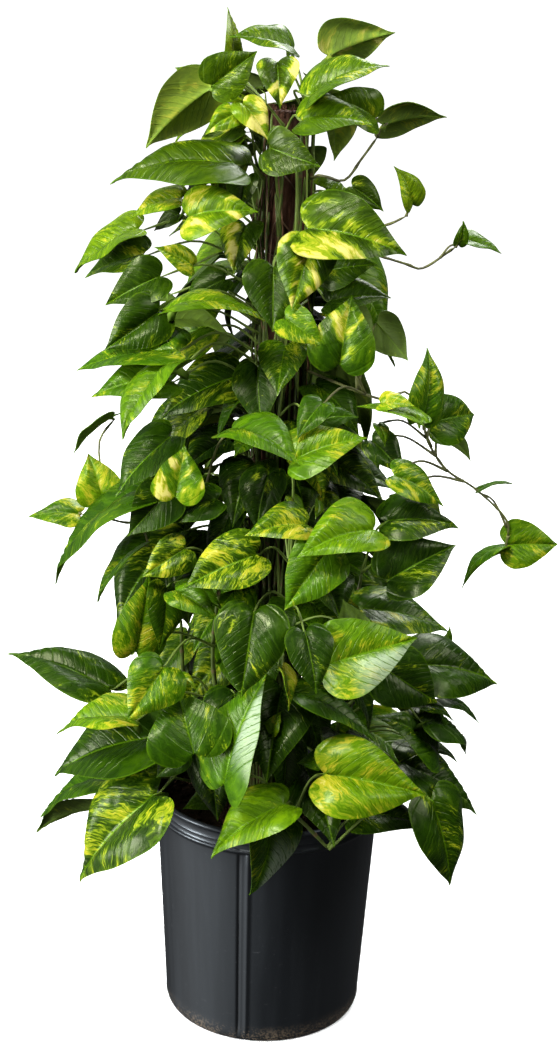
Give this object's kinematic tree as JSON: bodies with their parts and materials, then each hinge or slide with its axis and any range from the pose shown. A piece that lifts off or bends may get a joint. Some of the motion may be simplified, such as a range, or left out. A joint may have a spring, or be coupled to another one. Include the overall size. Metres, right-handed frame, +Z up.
{
  "type": "potted plant",
  "caption": "Golden pothos with variegated heart-shaped leaves climbing a bark-covered pole in a round black nursery pot with soil.",
  "frame": {"origin": "centre of the pot's flat underside, on the floor", "axes": "+Z up along the pole, -Y the pictured front, +X to the right as seen from the front"},
  "size_m": [0.5795, 0.4919, 1.1011],
  "materials": {
    "pot": "satin",
    "soil": "matte",
    "pole": "matte",
    "foliage": "gloss"
  },
  "bodies": {
    "root": {"pot": "pot", "soil": "soil", "climbing_pole": "pole", "leafy_vine_front": "foliage", "leafy_vine_front_left": "foliage", "leafy_vine_left": "foliage", "leafy_vine_back_left": "foliage", "leafy_vine_back": "foliage", "leafy_vine_back_right": "foliage", "leafy_vine_right": "foliage", "leafy_vine_front_right": "foliage", "leafy_shoot_front": "foliage", "leafy_shoot_front_left": "foliage", "leafy_shoot_left": "foliage", "leafy_shoot_back_left": "foliage", "leafy_shoot_back": "foliage", "leafy_shoot_back_right": "foliage", "leafy_shoot_right": "foliage", "leafy_shoot_front_right": "foliage", "trailing_stem": "foliage"}
  },
  "joints": []
}
